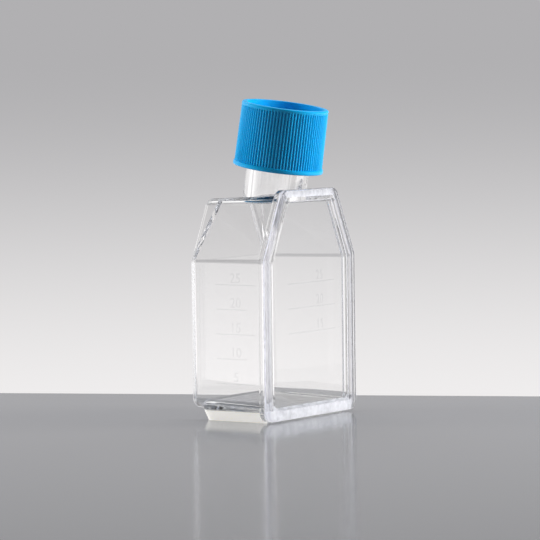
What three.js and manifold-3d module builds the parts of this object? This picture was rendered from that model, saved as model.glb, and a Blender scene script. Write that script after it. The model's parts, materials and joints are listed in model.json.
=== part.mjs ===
// Cell culture flask, standing on its end: a clear moulded body with a canted screw neck, a clear top
// plate welded to the body's flange, and a one-piece ribbed screw cap with a plug seal.
// Lengths are millimetres. X runs across the flask, -Y is the top plate's side and +Y the growth side.
// The foot stands on z = 0, and the origin lies under the middle of the whole flask's box.

import * as THREE from "three";
import { mergeVertices } from "three/addons/utils/BufferGeometryUtils.js";
import Module from "manifold-3d";

// ---- Driving dimensions ----

// The welded outline, which the body's flange and the top plate share
const flangeWidth = 37.6;
const flangeTopWidth = 22;
const flangeBottom = 0.4;
const flangeTop = 54;
const shoulderHeight = 38;
const flangeCornerRadius = 2.2;
const flangeThickness = 1.7;

// The top plate: a flat panel inside a raised rim
const panelThickness = 1.4;
const rimWidth = 2.5;
const rimRise = 0.7;
const rimSlope = 0.35;
const windowCornerRadius = 1.1;

// The tray behind the flange, which narrows towards the growth plane as it draws from its mould
const trayDepth = 20.5;
const flangeOverhang = 1.3;
const trayDraft = 2.6;
const trayCornerRadius = 2.4;
const growthEdgeRadius = 1.6;
const wall = 1.2;
const endWall = 1.4;
const endWallHeight = 1.9;

// The ramp that leads from the growth plane up to the neck, inside the stacking fins
const rampFoldHeight = 37.2;
const rampKneeHeight = 40.6;
const rampKneeInset = 1.5;
const rampTopInset = 4.6;
const finThickness = 1.1;

// The skirt under the end wall, which the flask stands on
const skirtSideInset = 1.1;
const skirtGrowthInset = 1.9;
const skirtLean = 1.9;
const skirtWall = 1.2;
const skirtCornerRadius = 2.6;

// The neck, canted towards the top plate
const neckCant = 9.2;
const neckDiameter = 14.9;
const neckWall = 1.4;
const neckLength = 16;
const neckRootSetback = 10.55;
const mouthRounding = 0.5;

// The neck's thread
const threadHeight = 0.95;
const threadBead = 0.95;
const threadPitch = 3.2;
const threadTurns = 2;
const threadStart = 1.9;
const threadFade = 0.17;

// The screw cap
const capHeight = 15.2;
const capWall = 1.2;
const capTaper = 0.2;
const capRecess = 2.5;
const capDisc = 1.2;
const capRimWidth = 1.2;
const capEdgeRadius = 0.4;
const capTopBand = 0.9;
const capLipHeight = 1.1;
const capLipFlare = 0.2;
const capLipEdge = 0.35;
const ribCount = 90;
const ribDepth = 0.35;
const ribCrestShare = 0.45;
const ribSetback = 0.05;
const ribFootShare = 0.85;
const ribSeat = 0.4;
const plugWall = 1;
const plugDepth = 4.5;
const plugLeadIn = 0.5;

// Clearances between the cap and the neck
const threadClearance = 0.35;
const plugClearance = 0.3;
const mouthClearance = 0.3;

// How finely round forms are cut into facets
const cornerFacets = 4;
const edgeFacets = 3;
const ringFacets = 48;
const threadFacets = 24;
const beadFacets = 4;

// ---- Derived sizes ----

const degree = Math.PI / 180;
const plateThickness = panelThickness + rimRise;
const plateFront = -(plateThickness + flangeThickness + trayDepth) / 2;
const weldPlane = plateFront + plateThickness;
const flangeBack = weldPlane + flangeThickness;
const growthPlane = flangeBack + trayDepth;
const draftInset = trayDepth * Math.tan(trayDraft * degree);

const neckRadius = neckDiameter / 2;
const boreRadius = neckRadius - neckWall;
const neckRoot = new THREE.Vector3(0, plateFront + neckRootSetback, flangeTop);
const neckTilt = neckCant * degree;
const threadCrest = neckRadius + threadHeight;

const capInnerRadius = threadCrest + threadClearance;
const ribRootRadius = capInnerRadius + capWall;
const capRadius = ribRootRadius + ribDepth;
const capAboveMouth = mouthClearance + capDisc + capRecess;
const plugRadius = boreRadius - plugClearance;

// Runs a tool right through what it cuts
const through = 5;

// ---- Solids ----

const wasm = await Module();
wasm.setup();

// Turns a closed three.js geometry into a solid that can be joined and cut.
function solidFrom(geometry) {
  const bare = geometry.clone();
  bare.deleteAttribute("normal");
  bare.deleteAttribute("uv");
  const merged = mergeVertices(bare, 1e-4);
  const corners = merged.index.array;
  const faces = [];
  for (let i = 0; i < corners.length; i += 3) {
    const [a, b, c] = corners.slice(i, i + 3);
    if (a !== b && b !== c && c !== a) faces.push(a, b, c);
  }
  const mesh = new wasm.Mesh({
    numProp: 3,
    vertProperties: merged.attributes.position.array,
    triVerts: new Uint32Array(faces),
  });
  return new wasm.Manifold(mesh);
}

// Turns a finished solid back into a named mesh of one material.
function meshFrom(solid, name, material) {
  const { vertProperties, triVerts } = solid.getMesh();
  const geometry = new THREE.BufferGeometry();
  geometry.setAttribute("position", new THREE.BufferAttribute(vertProperties, 3));
  geometry.setIndex(new THREE.BufferAttribute(triVerts, 1));
  geometry.computeVertexNormals();
  const mesh = new THREE.Mesh(geometry, material);
  mesh.name = name;
  return mesh;
}

// ---- The outline that the pieces share ----

// The flange's six corners in x and z, moved in by an inset, with the bottom edge where it is asked for.
function outlineCorners(inset, bottom) {
  const rise = flangeTop - shoulderHeight;
  const run = (flangeWidth - flangeTopWidth) / 2;
  const slant = Math.hypot(rise, run);
  const shoulderLine = (rise * flangeWidth) / 2 + run * shoulderHeight - inset * slant;
  const side = flangeWidth / 2 - inset;
  const top = flangeTop - inset;
  const shoulder = (shoulderLine - rise * side) / run;
  const topSide = (shoulderLine - run * top) / rise;
  return [
    new THREE.Vector2(-side, bottom),
    new THREE.Vector2(side, bottom),
    new THREE.Vector2(side, shoulder),
    new THREE.Vector2(topSide, top),
    new THREE.Vector2(-topSide, top),
    new THREE.Vector2(-side, shoulder),
  ];
}

// A shape with its corners rounded to a radius.
function roundedShape(corners, radius) {
  const shape = new THREE.Shape();
  corners.forEach((corner, i) => {
    const back = corners.at(i - 1).clone().sub(corner).normalize();
    const ahead = corners[(i + 1) % corners.length].clone().sub(corner).normalize();
    const reach = radius / Math.tan(back.angleTo(ahead) / 2);
    const enter = corner.clone().addScaledVector(back, reach);
    const leave = corner.clone().addScaledVector(ahead, reach);
    if (i === 0) shape.moveTo(enter.x, enter.y);
    else shape.lineTo(enter.x, enter.y);
    shape.quadraticCurveTo(corner.x, corner.y, leave.x, leave.y);
  });
  shape.closePath();
  return shape;
}

// Extrudes a shape in x and z across the depth, from nearY to farY, with both rims rounded inwards.
function slab(shape, nearY, farY, edgeRadius = 0) {
  const geometry = new THREE.ExtrudeGeometry(shape, {
    depth: farY - nearY - 2 * edgeRadius,
    curveSegments: cornerFacets,
    bevelEnabled: edgeRadius > 0,
    bevelThickness: edgeRadius,
    bevelSize: edgeRadius,
    bevelOffset: -edgeRadius,
    bevelSegments: edgeFacets,
  });
  geometry.rotateX(90 * degree);
  geometry.translate(0, farY - edgeRadius, 0);
  return geometry;
}

// Narrows a slab evenly towards the growth plane by the mould's draft.
function drafted(geometry) {
  const middle = (endWallHeight + flangeTop - flangeOverhang) / 2;
  const halfHeight = middle - endWallHeight;
  const halfWidth = flangeWidth / 2 - flangeOverhang;
  const place = geometry.getAttribute("position");
  for (let i = 0; i < place.count; i += 1) {
    const share = Math.max(0, (place.getY(i) - flangeBack) / trayDepth);
    place.setX(i, place.getX(i) * (1 - (share * draftInset) / halfWidth));
    place.setZ(i, middle + (place.getZ(i) - middle) * (1 - (share * draftInset) / halfHeight));
  }
  return geometry;
}

// A solid across the whole width whose section in y and z is a polygon.
function crossBar(points) {
  const shape = new THREE.Shape(points.map(([y, z]) => new THREE.Vector2(y, z)));
  const geometry = new THREE.ExtrudeGeometry(shape, { depth: flangeWidth, bevelEnabled: false });
  geometry.rotateY(90 * degree);
  geometry.rotateX(90 * degree);
  geometry.translate(-flangeWidth / 2, 0, 0);
  return solidFrom(geometry);
}

// A profile of radius and height turned about the z axis.
function turned(profile, facets) {
  const points = profile.map(([radius, height]) => new THREE.Vector2(radius, height));
  const geometry = new THREE.LatheGeometry(points, facets);
  geometry.rotateX(90 * degree);
  return geometry;
}

// ---- Body ----

// The space on the growth side of the ramp, moved in from the outer face by a depth.
function beyondRamp(depth) {
  const last = flangeTop + through;
  const rampSlope = (rampTopInset - rampKneeInset) / (flangeTop - rampKneeHeight);
  return crossBar([
    [growthPlane + through, rampFoldHeight - depth],
    [growthPlane - depth, rampFoldHeight - depth],
    [growthPlane - depth - rampKneeInset, rampKneeHeight - depth],
    [growthPlane - depth - rampTopInset - rampSlope * through, last - depth],
    [growthPlane + through, last - depth],
  ]);
}

// The recess outside the ramp, which leaves a fin along both shoulders and across the top.
function rampRecess() {
  const inner = roundedShape(
    outlineCorners(flangeOverhang + finThickness, endWallHeight),
    trayCornerRadius - finThickness,
  );
  return solidFrom(drafted(slab(inner, flangeBack, growthPlane + through))).intersect(beyondRamp(0));
}

// The room for the culture medium, open towards the top plate.
function cavity() {
  const inner = roundedShape(
    outlineCorners(flangeOverhang + wall, endWallHeight + endWall),
    trayCornerRadius - wall,
  );
  const growthFloor = growthPlane - wall;
  const innerEdge = growthEdgeRadius - wall;
  const room = solidFrom(drafted(slab(inner, weldPlane - through, growthFloor, innerEdge)));
  return room.subtract(beyondRamp(wall));
}

// The tray's outside, with its near rim hidden inside the flange.
function trayOutside() {
  const outer = roundedShape(outlineCorners(flangeOverhang, endWallHeight), trayCornerRadius);
  return solidFrom(drafted(slab(outer, weldPlane, growthPlane, growthEdgeRadius)));
}

function flangeSlab() {
  const outer = roundedShape(outlineCorners(0, flangeBottom), flangeCornerRadius);
  return solidFrom(slab(outer, weldPlane, flangeBack));
}

// A block whose plan is a rectangle with two rounded corners on the growth side, narrower at its foot.
function skirtBlock(inset, bottom) {
  const side = flangeWidth / 2 - flangeOverhang - skirtSideInset - inset;
  const far = growthPlane - skirtGrowthInset - inset;
  const near = weldPlane + flangeThickness / 2 + inset;
  const radius = skirtCornerRadius - inset;
  const plan = new THREE.Shape();
  plan.moveTo(-side, near);
  plan.lineTo(side, near);
  plan.lineTo(side, far - radius);
  plan.quadraticCurveTo(side, far, side - radius, far);
  plan.lineTo(radius - side, far);
  plan.quadraticCurveTo(-side, far, -side, far - radius);
  plan.closePath();
  const top = endWallHeight + draftInset + endWall / 2;
  const geometry = new THREE.ExtrudeGeometry(plan, {
    depth: top - bottom,
    curveSegments: cornerFacets,
    bevelEnabled: false,
  });
  geometry.translate(0, 0, bottom);
  const place = geometry.getAttribute("position");
  for (let i = 0; i < place.count; i += 1) {
    const drop = (top - place.getZ(i)) / top;
    const across = (place.getY(i) - near) / (far - near);
    place.setY(i, place.getY(i) - skirtLean * drop * across);
  }
  return solidFrom(geometry);
}

// The skirt is a thin wall round an open pocket under the end wall.
function skirt() {
  const pocket = skirtBlock(skirtWall, -through);
  const underEndWall = new THREE.BoxGeometry(flangeWidth, 2 * trayDepth, endWallHeight + through);
  underEndWall.translate(0, 0, (endWallHeight - through) / 2);
  return skirtBlock(0, 0).subtract(pocket.intersect(solidFrom(underEndWall)));
}

// Puts a geometry drawn about the neck's axis, with z = 0 at the neck's root, into the flask's frame.
function onNeck(geometry) {
  geometry.rotateX(neckTilt);
  geometry.translate(neckRoot.x, neckRoot.y, neckRoot.z);
  return solidFrom(geometry);
}

// The neck's outside, from inside the body up to its rounded mouth.
function neckOutside() {
  const profile = [
    [0, -boreRadius / 2],
    [neckRadius, -boreRadius / 2],
    [neckRadius, neckLength - mouthRounding],
    [neckRadius - mouthRounding, neckLength],
    [0, neckLength],
  ];
  return onNeck(turned(profile, ringFacets));
}

// The thread's bead runs down from the mouth and sinks into the neck at both of its ends.
function thread() {
  class Helix extends THREE.Curve {
    getPoint(share, target = new THREE.Vector3()) {
      const turn = share * threadTurns;
      const fade = Math.min(1, turn / threadFade, (threadTurns - turn) / threadFade);
      const radius = threadCrest - threadBead - (1 - fade) * threadBead;
      const height = neckLength - threadStart - turn * threadPitch;
      const angle = -turn * 360 * degree;
      return target.set(radius * Math.cos(angle), radius * Math.sin(angle), height);
    }
  }
  const section = new THREE.Shape();
  section.absarc(0, 0, threadBead, 0, 360 * degree);
  const bead = new THREE.ExtrudeGeometry(section, {
    steps: threadTurns * threadFacets,
    curveSegments: beadFacets,
    extrudePath: new Helix(),
  });
  return onNeck(bead);
}

function bore() {
  const tool = new THREE.CylinderGeometry(boreRadius, boreRadius, neckLength + 2 * through, ringFacets);
  tool.rotateX(90 * degree);
  tool.translate(0, 0, neckLength / 2);
  return onNeck(tool);
}

function flaskBody() {
  return trayOutside()
    .subtract(rampRecess())
    .add(flangeSlab())
    .add(skirt())
    .add(neckOutside())
    .add(thread())
    .subtract(cavity())
    .subtract(bore());
}

// ---- Top plate ----

// The panel is as wide as the flange and lies on it, and the rim stands forward round its edge.
function topPlate() {
  const outer = roundedShape(outlineCorners(0, flangeBottom), flangeCornerRadius);
  const window = roundedShape(outlineCorners(rimWidth, flangeBottom + rimWidth), windowCornerRadius);
  const panelFront = plateFront + rimRise;
  const pocket = slab(window, plateFront - through, panelFront + rimSlope, rimSlope);
  const panel = slab(outer, panelFront, weldPlane);
  return solidFrom(slab(outer, plateFront, weldPlane))
    .subtract(solidFrom(pocket))
    .add(solidFrom(panel));
}

// ---- Screw cap, drawn about its own axis with z = 0 at its open end ----

// The cap's radius grows a little from the top down to the open end.
function taperAt(height) {
  return capTaper * (1 - height / capHeight);
}

// The smooth shell inside the ribs, with its top band, its recessed top and its flared lip.
function capShell() {
  const core = ribRootRadius - ribSeat;
  const lip = capRadius + capTaper + capLipFlare;
  const recessRadius = capRadius - capRimWidth;
  const bandBottom = capHeight - capTopBand;
  const recessFloor = capHeight - capRecess;
  const disc = recessFloor - capDisc;
  const plugEnd = disc - plugDepth;
  const profile = [
    [0, recessFloor],
    [0, disc],
    [plugRadius - plugWall, disc],
    [plugRadius - plugWall, plugEnd],
    [plugRadius - plugLeadIn, plugEnd],
    [plugRadius, plugEnd + plugLeadIn],
    [plugRadius, disc],
    [capInnerRadius, disc],
    [capInnerRadius, 0],
    [lip - capLipEdge, 0],
    [lip, capLipEdge],
    [lip, capLipHeight - capLipEdge],
    [core, capLipHeight],
    [core, bandBottom],
    [capRadius, bandBottom],
    [capRadius, capHeight - capEdgeRadius],
    [capRadius - capEdgeRadius * (1 - Math.SQRT1_2), capHeight - capEdgeRadius * (1 - Math.SQRT1_2)],
    [capRadius - capEdgeRadius, capHeight],
    [recessRadius + capEdgeRadius / 2, capHeight],
    [recessRadius, capHeight - capEdgeRadius / 2],
    [recessRadius, recessFloor],
    [0, recessFloor],
  ];
  return solidFrom(turned(profile, ringFacets));
}

// The grip: a ring of fine ribs between the lip and the top band.
function capRibs() {
  const outline = new THREE.Shape();
  const pitch = (360 / ribCount) * degree;
  const crest = (pitch * ribCrestShare) / 2;
  const foot = (pitch * ribFootShare) / 2;
  const crestRadius = capRadius - ribSetback;
  for (let rib = 0; rib < ribCount; rib += 1) {
    const centre = rib * pitch;
    const corners = [
      [ribRootRadius, -foot],
      [crestRadius, -crest],
      [crestRadius, crest],
      [ribRootRadius, foot],
    ];
    corners.forEach(([radius, turn], i) => {
      const x = radius * Math.cos(centre + turn);
      const y = radius * Math.sin(centre + turn);
      if (rib === 0 && i === 0) outline.moveTo(x, y);
      else outline.lineTo(x, y);
    });
  }
  outline.closePath();
  const hole = new THREE.Path();
  hole.absarc(0, 0, ribRootRadius - 1.5 * ribSeat, 0, 360 * degree, true);
  outline.holes.push(hole);
  const bottom = capLipHeight / 2;
  const top = capHeight - capTopBand / 2;
  const ring = new THREE.ExtrudeGeometry(outline, {
    depth: top - bottom,
    curveSegments: ringFacets,
    bevelEnabled: false,
  });
  ring.translate(0, 0, bottom);
  const place = ring.getAttribute("position");
  for (let i = 0; i < place.count; i += 1) {
    const scale = 1 + taperAt(place.getZ(i)) / capRadius;
    place.setX(i, place.getX(i) * scale);
    place.setY(i, place.getY(i) * scale);
  }
  return solidFrom(ring);
}

function screwCap() {
  return capShell().add(capRibs());
}

// ---- Materials and assembly ----

const clearBody = new THREE.MeshStandardMaterial({
  color: "#e9eef2",
  roughness: 0.08,
  metalness: 0,
  transparent: true,
  opacity: 0.35,
});
const clearPlate = new THREE.MeshStandardMaterial({
  color: "#e6ecf2",
  roughness: 0.06,
  metalness: 0,
  transparent: true,
  opacity: 0.3,
});
const blueCap = new THREE.MeshStandardMaterial({
  color: "#0a7fcb",
  roughness: 0.38,
  metalness: 0,
});

const flask = new THREE.Group();
flask.add(meshFrom(flaskBody(), "flask_body", clearBody));
flask.add(meshFrom(topPlate(), "top_plate", clearPlate));

const cap = meshFrom(screwCap(), "screw_cap", blueCap);
const capOpenEnd = neckLength + capAboveMouth - capHeight;
const alongNeck = new THREE.Vector3(0, 0, capOpenEnd).applyAxisAngle(new THREE.Vector3(1, 0, 0), neckTilt);
cap.position.copy(neckRoot).add(alongNeck);
cap.rotation.x = neckTilt;
flask.add(cap);

// Stands the flask on z = 0 with the middle of its box over the origin.
const bounds = new THREE.Box3().setFromObject(flask, true);
flask.position.set(0, -(bounds.min.y + bounds.max.y) / 2, -bounds.min.z);

export default flask;
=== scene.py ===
import json
import logging
import math
from collections.abc import Callable, Iterable, Sequence
from dataclasses import dataclass
from enum import Enum
from functools import cached_property

import bmesh
import bpy
from bmesh.types import BMEdge, BMesh, BMFace, BMVert
from bpy.types import ID, Material, Mesh, Node, NodeSocket, NodeTree, Object
from mathutils import Matrix, Vector


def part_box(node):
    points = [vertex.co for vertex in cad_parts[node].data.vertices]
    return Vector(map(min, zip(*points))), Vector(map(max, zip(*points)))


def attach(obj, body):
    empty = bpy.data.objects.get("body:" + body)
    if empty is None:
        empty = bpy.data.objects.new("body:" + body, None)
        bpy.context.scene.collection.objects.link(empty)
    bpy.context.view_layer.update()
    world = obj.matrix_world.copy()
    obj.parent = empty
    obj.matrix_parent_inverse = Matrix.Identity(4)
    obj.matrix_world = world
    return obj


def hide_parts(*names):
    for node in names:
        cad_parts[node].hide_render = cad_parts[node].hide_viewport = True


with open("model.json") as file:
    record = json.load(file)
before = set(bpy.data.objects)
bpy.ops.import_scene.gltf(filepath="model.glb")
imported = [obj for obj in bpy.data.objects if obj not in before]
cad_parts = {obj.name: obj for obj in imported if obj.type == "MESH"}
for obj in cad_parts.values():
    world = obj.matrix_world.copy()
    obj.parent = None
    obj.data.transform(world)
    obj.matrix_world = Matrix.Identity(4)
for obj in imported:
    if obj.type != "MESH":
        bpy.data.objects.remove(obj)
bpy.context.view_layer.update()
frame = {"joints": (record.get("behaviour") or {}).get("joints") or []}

# Every size below is in millimetres, and the frame is in metres.
MM = 0.001
FULL_TURN = math.tau
# Corners nearer to each other than this are one, and cuts hold to this.
MERGE_WITHIN = 1e-5
CUT_WITHIN = 1e-4
# Faces within this angle are one flat side. A flat side is wider than any facet of a round form.
FLAT_WITHIN = math.radians(0.1)
FACET_WIDTH = 0.45
# A slab's own edges turn by more than this many degrees, unlike those of its rounded corners.
SQUARE_EDGE = 60.0
# How much of a normal's length lies along an axis from which the face counts as turned to it.
EDGE_FACING = 0.5
FLAT_FACING = 0.99
# How much of a font's size its digits are high.
DIGIT_SHARE = 0.7
# The sRGB curve: straight up to the end of its foot, and a shifted power above it.
SRGB_FOOT = 12.92
SRGB_FOOT_END = 0.04045
SRGB_SHIFT = 0.055
SRGB_POWER = 2.4
# How often light may turn, because clear walls lead it a long way before it leaves them.
BOUNCES = 64

log = logging.getLogger("culture_flask")


# ---- Mesh tools ----


class Join(Enum):
    """How one solid is put together with another."""

    UNION = "UNION"
    CUT = "DIFFERENCE"
    COMMON = "INTERSECT"


def place(bm: BMesh, matrix: Matrix) -> BMesh:
    """Moves a whole bmesh and returns it."""
    bmesh.ops.transform(bm, matrix=matrix, verts=bm.verts)
    return bm


def linked(name: str, data: ID) -> Object:
    """Makes an object that shows some data, linked to the scene."""
    made = bpy.data.objects.new(name, data)
    bpy.context.scene.collection.objects.link(made)
    return made


def baked(made: Object) -> Mesh:
    """Copies the mesh that an object shows, with its modifiers applied."""
    shown = made.evaluated_get(bpy.context.evaluated_depsgraph_get())
    return bpy.data.meshes.new_from_object(shown)


def as_object(name: str, bm: BMesh, finishes: Sequence[Material] = ()) -> Object:
    """Turns a closed bmesh into an object and frees it.

    Args:
        name: The object's name.
        bm: The mesh, whose doubles are merged and whose normals are turned outwards.
        finishes: Its materials, in the order of its faces' numbers for them.

    Returns:
        The new object, linked to the scene.
    """
    bmesh.ops.remove_doubles(bm, verts=bm.verts, dist=MERGE_WITHIN)
    bmesh.ops.recalc_face_normals(bm, faces=bm.faces)
    mesh = bpy.data.meshes.new(name)
    bm.to_mesh(mesh)
    bm.free()
    for finish in finishes:
        mesh.materials.append(finish)
    return linked(name, mesh)


def combine(target: Object, tool: Object, how: Join) -> Object:
    """Joins a tool to a solid, cuts it out or keeps what they share. The tool is used up.

    Args:
        target: The solid that stays.
        tool: The solid that is used up.
        how: What is done with the two.

    Returns:
        The target, with its new mesh.
    """
    step = target.modifiers.new(how.name, "BOOLEAN")
    step.operation = how.value
    step.solver = "MANIFOLD"
    step.material_mode = "INDEX"
    step.object = tool
    mesh = baked(target)
    target.modifiers.clear()
    target.data = mesh
    bpy.data.objects.remove(tool)
    return target


def rounded_face(bm: BMesh, corners: Sequence[Vector], radius: float, facets: int,
                 chosen: Sequence[int] | None = None) -> BMFace:
    """Draws a flat face and rounds its corners to a radius.

    Args:
        bm: The mesh to draw it in.
        corners: The sharp corners in order.
        radius: The radius of every rounded corner.
        facets: How many facets each rounded corner has.
        chosen: The numbers of the corners to round, or None for all of them.

    Returns:
        The rounded face.
    """
    points = [bm.verts.new(corner) for corner in corners]
    bm.faces.new(points)
    for i in range(len(points)) if chosen is None else chosen:
        back = (corners[i - 1] - corners[i]).normalized()
        ahead = (corners[(i + 1) % len(corners)] - corners[i]).normalized()
        reach = radius / math.tan(back.angle(ahead) / 2)
        bmesh.ops.bevel(bm, geom=[points[i]], offset=reach, segments=facets, profile=0.5,
                        affect="VERTICES", material=-1)
    bm.faces.ensure_lookup_table()
    return bm.faces[0]


def extruded(bm: BMesh, face: BMFace, along: Vector) -> list[BMVert]:
    """Extrudes a lone face into a closed solid.

    Args:
        bm: The mesh that holds the face.
        face: The face to extrude.
        along: How far the moved end goes.

    Returns:
        The corners of the moved end.
    """
    grown = bmesh.ops.extrude_face_region(bm, geom=[face])
    moved = [item for item in grown["geom"] if isinstance(item, BMVert)]
    bmesh.ops.translate(bm, vec=along, verts=moved)
    bmesh.ops.recalc_face_normals(bm, faces=bm.faces)
    return moved


def rim_of(bm: BMesh, points: Iterable[BMVert]) -> list[BMEdge]:
    """The edges that run round a set of corners.

    Args:
        bm: The solid.
        points: The corners of one end of it.

    Returns:
        The edges whose two ends are both among the corners, in the solid's own order.
    """
    chosen = set(points)
    return [edge for edge in bm.edges if chosen.issuperset(edge.verts)]


def soften(bm: BMesh, edges: Sequence[BMEdge], radius: float, facets: int) -> None:
    """Rounds edges to a radius, with a number of facets."""
    bmesh.ops.bevel(bm, geom=list(edges), offset=radius, segments=facets, profile=0.5,
                    affect="EDGES", material=-1)


def mark_weld(bm: BMesh, facing: float, opening: Sequence[Vector]) -> None:
    """Gives the ring of a flat side that is welded to its neighbour the second material.

    Args:
        bm: The slab.
        facing: Whether the side faces along the y axis, 1, or against it, -1.
        opening: The sharp corners, in order, of the part inside the ring.
    """
    bmesh.ops.recalc_face_normals(bm, faces=bm.faces)
    flat = max((face for face in bm.faces if face.normal.y * facing > FLAT_FACING),
               key=lambda face: face.calc_area())
    middle = sum(opening, Vector()) / len(opening)
    side = [flat]
    for first, second in zip(opening, [*opening[1:], opening[0]]):
        across = (second - first).cross(Vector((0, 1, 0))).normalized()
        # A dictionary keeps the order, so that every run gives the same mesh.
        cut = dict.fromkeys(item for face in side for item in (face, *face.edges, *face.verts))
        halves = bmesh.ops.bisect_plane(bm, geom=list(cut), dist=CUT_WITHIN, plane_co=first,
                                        plane_no=across)
        side = [item for item in halves["geom"] if isinstance(item, BMFace)]
        within = math.copysign(1.0, (middle - first).dot(across))
        for face in side:
            if (face.calc_center_median() - first).dot(across) * within < 0:
                face.material_index = 1


def turned(profile: Sequence[tuple[float, float]], steps: int) -> BMesh:
    """Spins a profile of radius and height once about the z axis.

    Args:
        profile: The points, from axis to axis or closed on itself.
        steps: How many steps the turn has.

    Returns:
        A closed solid of revolution.
    """
    bm = bmesh.new()
    points = [bm.verts.new((radius, 0.0, height)) for radius, height in profile]
    edges = [bm.edges.new(pair) for pair in zip(points, points[1:])]
    bmesh.ops.spin(bm, geom=[*points, *edges], cent=(0, 0, 0), axis=(0, 0, 1), dvec=(0, 0, 0),
                   angle=FULL_TURN, steps=steps, use_merge=True, use_duplicate=False)
    bmesh.ops.remove_doubles(bm, verts=bm.verts, dist=MERGE_WITHIN)
    return bm


def arc(centre: tuple[float, float], radius: float, first: float, last: float,
        steps: int = 5) -> list[tuple[float, float]]:
    """Points of an arc in a profile.

    Args:
        centre: Its centre, as radius and height.
        radius: Its radius.
        first: The angle it starts at, in degrees from straight outwards.
        last: The angle it ends at.
        steps: How many steps it has.

    Returns:
        The points in order.
    """
    angles = [math.radians(first + (last - first) * i / steps) for i in range(steps + 1)]
    return [(centre[0] + radius * math.cos(a), centre[1] + radius * math.sin(a)) for a in angles]


def sharp_edges(bm: BMesh, least: float, wanted: Callable[[Vector], bool]) -> list[BMEdge]:
    """The edges that turn by more than an angle and lie where they are wanted.

    Args:
        bm: The mesh to look through.
        least: The least turn, in degrees.
        wanted: Says of the middle of an edge whether it counts.

    Returns:
        The edges.
    """
    return [edge for edge in bm.edges if len(edge.link_faces) == 2
            and edge.calc_face_angle() > math.radians(least)
            and wanted((edge.verts[0].co + edge.verts[1].co) / 2)]


def flat_sides(bm: BMesh) -> set[BMFace]:
    """The faces that belong to flat sides, and not to the narrow facets of round forms.

    Args:
        bm: The solid, in millimetres.

    Returns:
        The faces.
    """
    found: set[BMFace] = set()
    seen: set[BMFace] = set()
    for first in bm.faces:
        if first in seen:
            continue
        seen.add(first)
        # The list grows while it is walked through, until the whole flat side is in it.
        side = [first]
        for face in side:
            for edge in face.edges:
                for other in edge.link_faces:
                    turn = other.normal.angle(face.normal, math.pi)
                    if other not in seen and turn < FLAT_WITHIN:
                        seen.add(other)
                        side.append(other)
        points = [point.co for face in side for point in face.verts]
        # Measured from the outermost corner, because the order of the corners may vary.
        start = min(points, key=tuple)
        reach = max((point - start).length for point in points)
        if sum(face.calc_area() for face in side) > reach * FACET_WIDTH:
            found.update(side)
    return found


def finished(made: Object, sharp_from: float) -> Object:
    """Brings a solid from millimetres into the frame and shades its round forms smooth.

    Args:
        made: The solid, in millimetres.
        sharp_from: The turn in degrees from which an edge is shaded sharp.

    Returns:
        The same object.
    """
    bm = bmesh.new()
    bm.from_mesh(made.data)
    # Even triangles keep the many edges of a rounded corner from running across a clear wall.
    bmesh.ops.triangulate(bm, faces=[face for face in bm.faces if len(face.verts) > 4],
                          ngon_method="BEAUTY")
    flats = flat_sides(bm)
    for face in bm.faces:
        face.smooth = True
    for edge in bm.edges:
        turn = edge.calc_face_angle(0.0)
        beside_flat = any(face in flats for face in edge.link_faces)
        edge.smooth = turn < (FLAT_WITHIN if beside_flat else math.radians(sharp_from))
    bm.to_mesh(made.data)
    bm.free()
    made.data.transform(Matrix.Scale(MM, 4))
    return made


# ---- Materials ----


def linear(code: str) -> tuple[float, float, float, float]:
    """Turns an sRGB hex colour into the linear one that shaders take.

    Args:
        code: The colour, such as "#1a7fd0".

    Returns:
        Red, green, blue and an alpha of 1.
    """
    parts = [part / 255 for part in bytes.fromhex(code.removeprefix("#"))]
    red, green, blue = [
        part / SRGB_FOOT if part <= SRGB_FOOT_END
        else ((part + SRGB_SHIFT) / (1 + SRGB_SHIFT)) ** SRGB_POWER for part in parts]
    return red, green, blue, 1.0


class Nodes:
    """A node tree that grows node by node."""

    def __init__(self, tree: NodeTree) -> None:
        """Empties the tree."""
        self.tree = tree
        tree.nodes.clear()

    def add(self, kind: str, settings: dict[str, object] | None = None,
            links: dict[str | int, Node | NodeSocket] | None = None) -> Node:
        """Adds a node with its settings and links.

        Args:
            kind: The node's type, without the word ShaderNode.
            settings: Values for its inputs or its properties, by their names, or by an input's
                number where inputs share a name.
            links: What feeds its inputs, by their names or numbers. A node feeds its first output.

        Returns:
            The new node.
        """
        node = self.tree.nodes.new(f"ShaderNode{kind}")
        for name, value in (settings or {}).items():
            if isinstance(name, int) or name in node.inputs.keys():
                node.inputs[name].default_value = value
            else:
                setattr(node, name, value)
        for name, source in (links or {}).items():
            socket = source if isinstance(source, NodeSocket) else source.outputs[0]
            self.tree.links.new(socket, node.inputs[name])
        return node


class Surface(Nodes):
    """The node tree of a material."""

    def __init__(self, name: str) -> None:
        """Makes the material, with no shader yet.

        Args:
            name: Its name.
        """
        self.material = bpy.data.materials.new(name)
        self.material.use_nodes = True
        super().__init__(self.material.node_tree)

    @cached_property
    def place(self) -> NodeSocket:
        """The place on the piece, in object coordinates."""
        return self.add("TexCoord").outputs["Object"]

    def patches(self, size: float, low: float, high: float, spread: float = 0.2,
                place_on: Node | None = None, **settings: float) -> tuple[Node, Node]:
        """Adds soft patches of one size, and a value that follows them.

        Args:
            size: The size of a patch in millimetres.
            low: The value in the low patches.
            high: The value in the high patches.
            spread: How far from the middle a patch counts as low or high.
            place_on: Where the patches are read, if not at the piece's own coordinates.
            settings: Other inputs of the noise.

        Returns:
            The patches and the value.
        """
        noise = self.add("TexNoise", {"Scale": 1 / (size * MM), "Detail": 2.0, **settings},
                         {"Vector": place_on or self.place})
        return noise, self.add("MapRange", {
            "From Min": 0.5 - spread, "From Max": 0.5 + spread, "To Min": low, "To Max": high},
            {"Value": noise})

    def show(self, shader: Node) -> Material:
        """Puts a shader on the surface and returns the material."""
        self.add("OutputMaterial", None, {"Surface": shader})
        return self.material


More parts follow.
